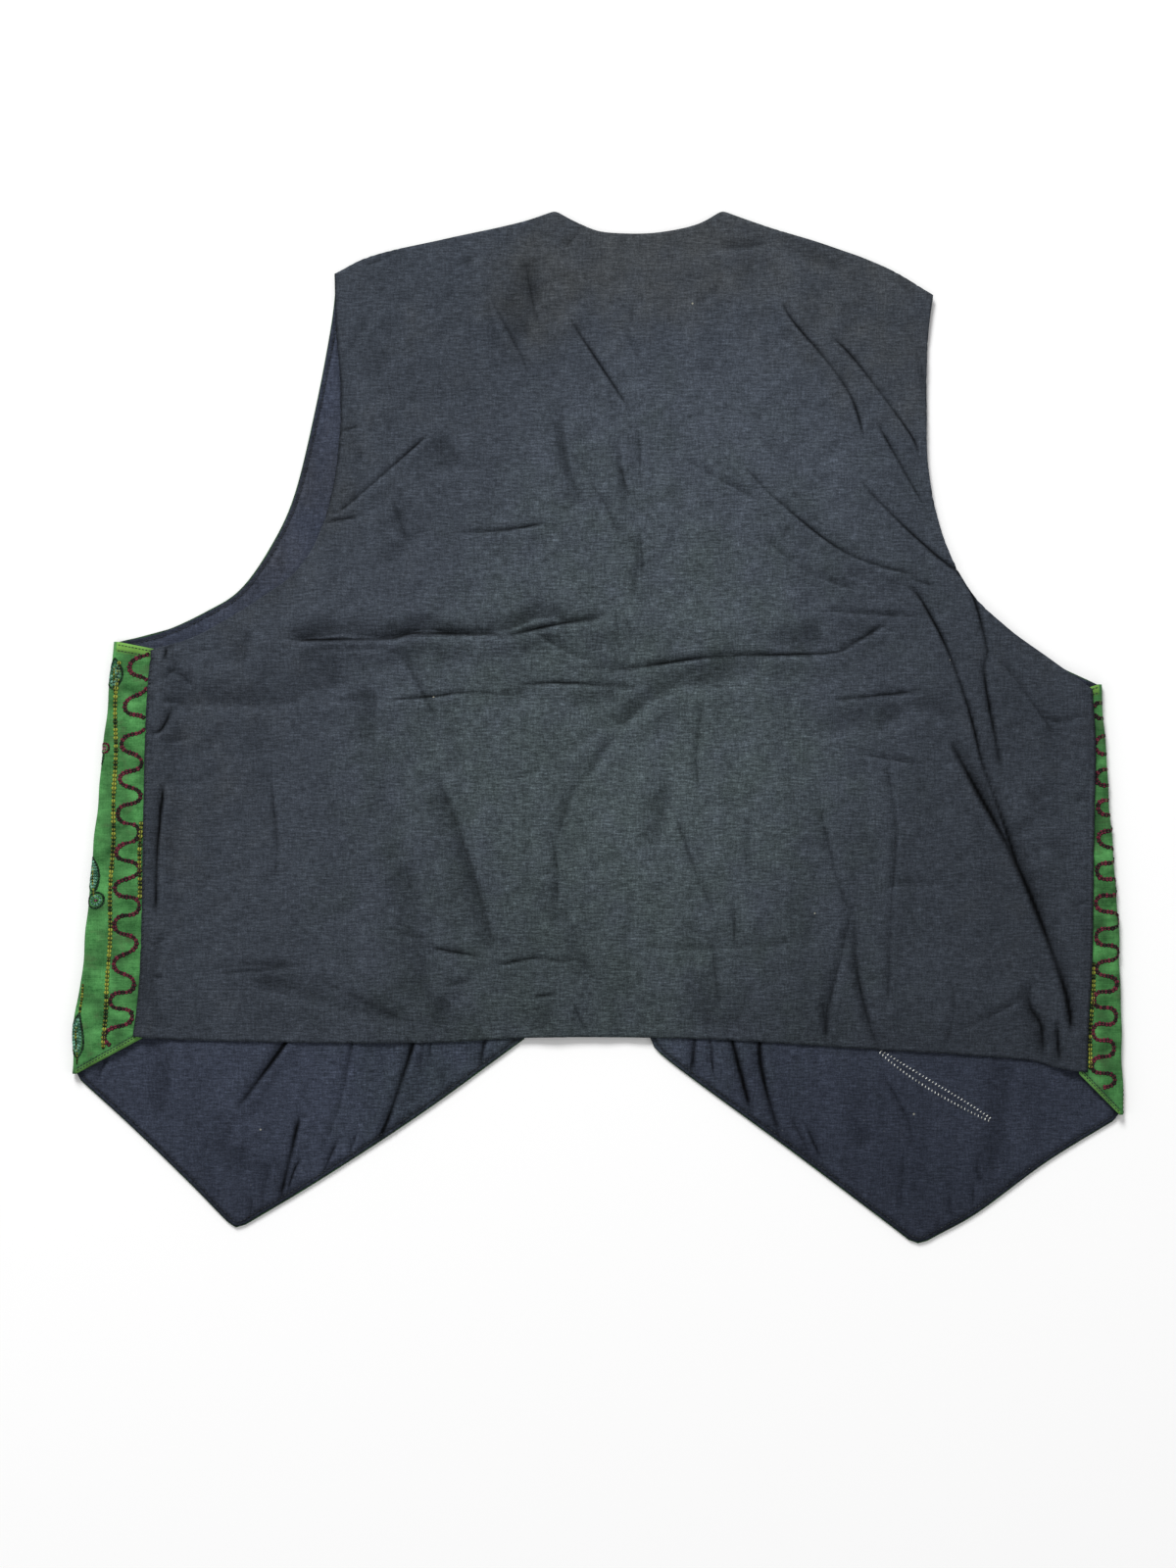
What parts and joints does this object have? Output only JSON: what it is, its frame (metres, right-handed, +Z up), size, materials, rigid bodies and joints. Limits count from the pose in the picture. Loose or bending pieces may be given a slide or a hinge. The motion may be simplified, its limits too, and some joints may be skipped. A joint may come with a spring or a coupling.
{
  "type": "embroidered folk vest",
  "caption": "Sleeveless waist-length vest with pointed fronts, embroidered fronts and a plain back, laid face down and flat.",
  "frame": {"origin": "centre of the footprint, on the surface that the vest lies on", "axes": "+Y towards the neck, +Z up through the cloth from the fronts to the back, +X towards the vest's right side"},
  "size_m": [0.644, 0.633, 0.0088],
  "materials": {
    "charcoal_cotton": "matt slubby handwoven cotton, faded unevenly",
    "charcoal_lining": "matt slubby cotton",
    "green_cotton": "matt fine cotton",
    "yellow_thread": "soft embroidery thread, olive yellow",
    "wine_thread": "soft embroidery thread, dark wine",
    "pink_thread": "soft embroidery thread, dusty pink",
    "teal_thread": "soft embroidery thread, pale teal",
    "dark_thread": "soft embroidery thread, near-black green",
    "white_thread": "white cotton sewing thread",
    "seam_thread": "dark sewing thread"
  },
  "bodies": {
    "root": {"back_panel": "charcoal_cotton", "front_left_shell": "green_cotton", "front_left_lining": "charcoal_lining", "front_right_shell": "green_cotton", "front_right_lining": "charcoal_lining"}
  },
  "joints": []
}
